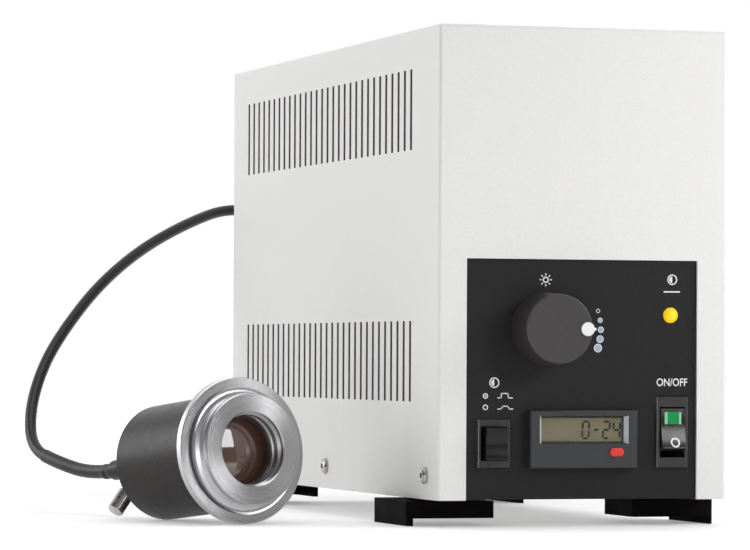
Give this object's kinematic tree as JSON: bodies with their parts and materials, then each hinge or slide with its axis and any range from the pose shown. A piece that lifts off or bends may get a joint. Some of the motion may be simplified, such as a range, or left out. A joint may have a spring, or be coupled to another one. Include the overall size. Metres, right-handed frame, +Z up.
{
  "type": "fiber optic illuminator",
  "caption": "Bench light source in a vented sheet-metal housing, with an intensity knob, shutter and power switches, and a light guide ending in a flanged coupling adapter.",
  "frame": {"origin": "bottom centre of the unit and its adapter as they stand on the bench, without the light guide", "axes": "+X to the unit's right seen from the front, +Y to its rear, +Z up"},
  "size_m": [0.2625, 0.4214, 0.212],
  "materials": {
    "cover_paint": "fine textured powder coat, very light warm grey",
    "panel_black": "satin black paint with white printing",
    "chassis_steel": "zinc-plated sheet",
    "screw_steel": "plated",
    "foot_plastic": "fine moulded texture",
    "knob_plastic": "fine moulded texture",
    "pointer_white": "moulded",
    "shaft_steel": "ground",
    "bush_brass": "turned",
    "bench_aluminium": "satin sheet",
    "amber_lens": "translucent",
    "holder_black": "moulded",
    "meter_black": "moulded",
    "meter_clear": "clear window",
    "meter_digits": "liquid crystal panel",
    "reset_red": "moulded",
    "switch_black": "moulded",
    "lens_green": "translucent",
    "board_green": "laminate",
    "reflector_glass": "coated bowl",
    "burner_glass": "quartz with ceramic base",
    "socket_ceramic": "ceramic",
    "filter_glass": "heat-absorbing glass",
    "solenoid_body": "wrapped coil",
    "ballast_paint": "satin",
    "fan_plastic": "moulded",
    "inlet_plastic": "moulded",
    "pin_brass": "plated",
    "port_anodised": "black anodised",
    "ferrule_steel": "polished",
    "guide_jacket": "smooth jacket",
    "adapter_anodised": "satin black anodised",
    "flange_steel": "turned",
    "lens_glass": "coated lens",
    "ring_black": "dark anodised",
    "thumbscrew_steel": "knurled"
  },
  "bodies": {
    "unit": {"housing_cover": "cover_paint", "base_tray": "chassis_steel", "front_panel": "panel_black", "rear_panel": "chassis_steel", "cover_screws": "screw_steel", "rear_panel_screws": "screw_steel", "foot_front_left": "foot_plastic", "foot_front_right": "foot_plastic", "foot_rear_left": "foot_plastic", "foot_rear_right": "foot_plastic", "foot_screws": "screw_steel", "knob_bush": "bush_brass", "knob_bush_nut": "bush_brass", "shaft_bracket": "bench_aluminium", "indicator_lens": "amber_lens", "indicator_holder": "holder_black", "meter_case": "meter_black", "meter_window": "meter_clear", "meter_display": "meter_digits", "meter_clip": "chassis_steel", "shutter_switch_body": "switch_black", "power_switch_body": "switch_black", "control_board": "board_green", "optical_bench": "bench_aluminium", "lamp_bracket": "bench_aluminium", "lamp_reflector": "reflector_glass", "lamp_burner": "burner_glass", "lamp_socket": "socket_ceramic", "optics_plate": "bench_aluminium", "heat_filter": "filter_glass", "shutter_solenoid": "solenoid_body", "ballast_case": "ballast_paint", "fan_frame": "fan_plastic", "mains_inlet": "inlet_plastic", "inlet_pins": "pin_brass", "remote_socket": "inlet_plastic", "guide_port": "port_anodised", "adapter_flange": "flange_steel", "adapter_locating_pin": "flange_steel", "adapter_body": "adapter_anodised", "adapter_lens_front": "lens_glass", "adapter_lens_ring": "ring_black", "guide_ferrule_lamp": "ferrule_steel", "guide_boot_lamp": "guide_jacket", "guide_tube": "guide_jacket", "guide_sleeve": "guide_jacket", "guide_ferrule_adapter": "ferrule_steel"},
    "intensity_control": {"intensity_knob": "knob_plastic", "knob_pointer": "pointer_white", "knob_shaft": "shaft_steel", "attenuator_vane": "bench_aluminium"},
    "shutter_cap": {"shutter_button": "switch_black"},
    "power_key": {"power_rocker": "switch_black", "power_lens": "lens_green"},
    "reset_key": {"reset_button": "reset_red"},
    "shutter_flag": {"shutter_blade": "bench_aluminium"},
    "fan_wheel": {"fan_rotor": "fan_plastic"},
    "fuse_tray": {"fuse_drawer": "inlet_plastic"},
    "port_screw": {"port_clamp_screw": "port_anodised"},
    "adapter_screw": {"adapter_thumbscrew": "thumbscrew_steel"}
  },
  "joints": [
    {"name": "intensity_turn", "type": "hinge", "parent": "unit", "child": "intensity_control", "pos_m": [0.0371, -0.1612, 0.084], "axis": [0, 1, 0], "range_deg": [-18.2, 18.2]},
    {"name": "shutter_push", "type": "slide", "parent": "unit", "child": "shutter_cap", "axis": [0, 1, 0], "range_m": [0, 0.003], "stiffness_N_per_m": 300},
    {"name": "power_tilt", "type": "hinge", "parent": "unit", "child": "power_key", "pos_m": [0.09425, -0.1544, 0.0404], "axis": [1, 0, 0], "range_deg": [0, 20]},
    {"name": "reset_push", "type": "slide", "parent": "unit", "child": "reset_key", "axis": [0, 1, 0], "range_m": [0, 0.0008], "stiffness_N_per_m": 300},
    {"name": "shutter_swing", "type": "hinge", "parent": "unit", "child": "shutter_flag", "pos_m": [0.0269, 0.0578, 0.138], "axis": [0, 1, 0], "range_deg": [-35, 0]},
    {"name": "fan_spin", "type": "hinge", "parent": "unit", "child": "fan_wheel", "pos_m": [0.0289, 0.1483, 0.064], "axis": [0, 1, 0], "continuous": true},
    {"name": "fuse_slide", "type": "slide", "parent": "unit", "child": "fuse_tray", "axis": [0, 1, 0], "range_m": [0, 0.018]},
    {"name": "port_screw_turn", "type": "hinge", "parent": "unit", "child": "port_screw", "pos_m": [0.0709, 0.1728, 0.1455], "axis": [0, 0, 1], "range_deg": [0, 360]},
    {"name": "adapter_screw_turn", "type": "hinge", "parent": "unit", "child": "adapter_screw", "pos_m": [-0.11021, -0.03457, 0.01679], "axis": [-0.5822, -0.2847, -0.7615], "range_deg": [0, 360]}
  ]
}
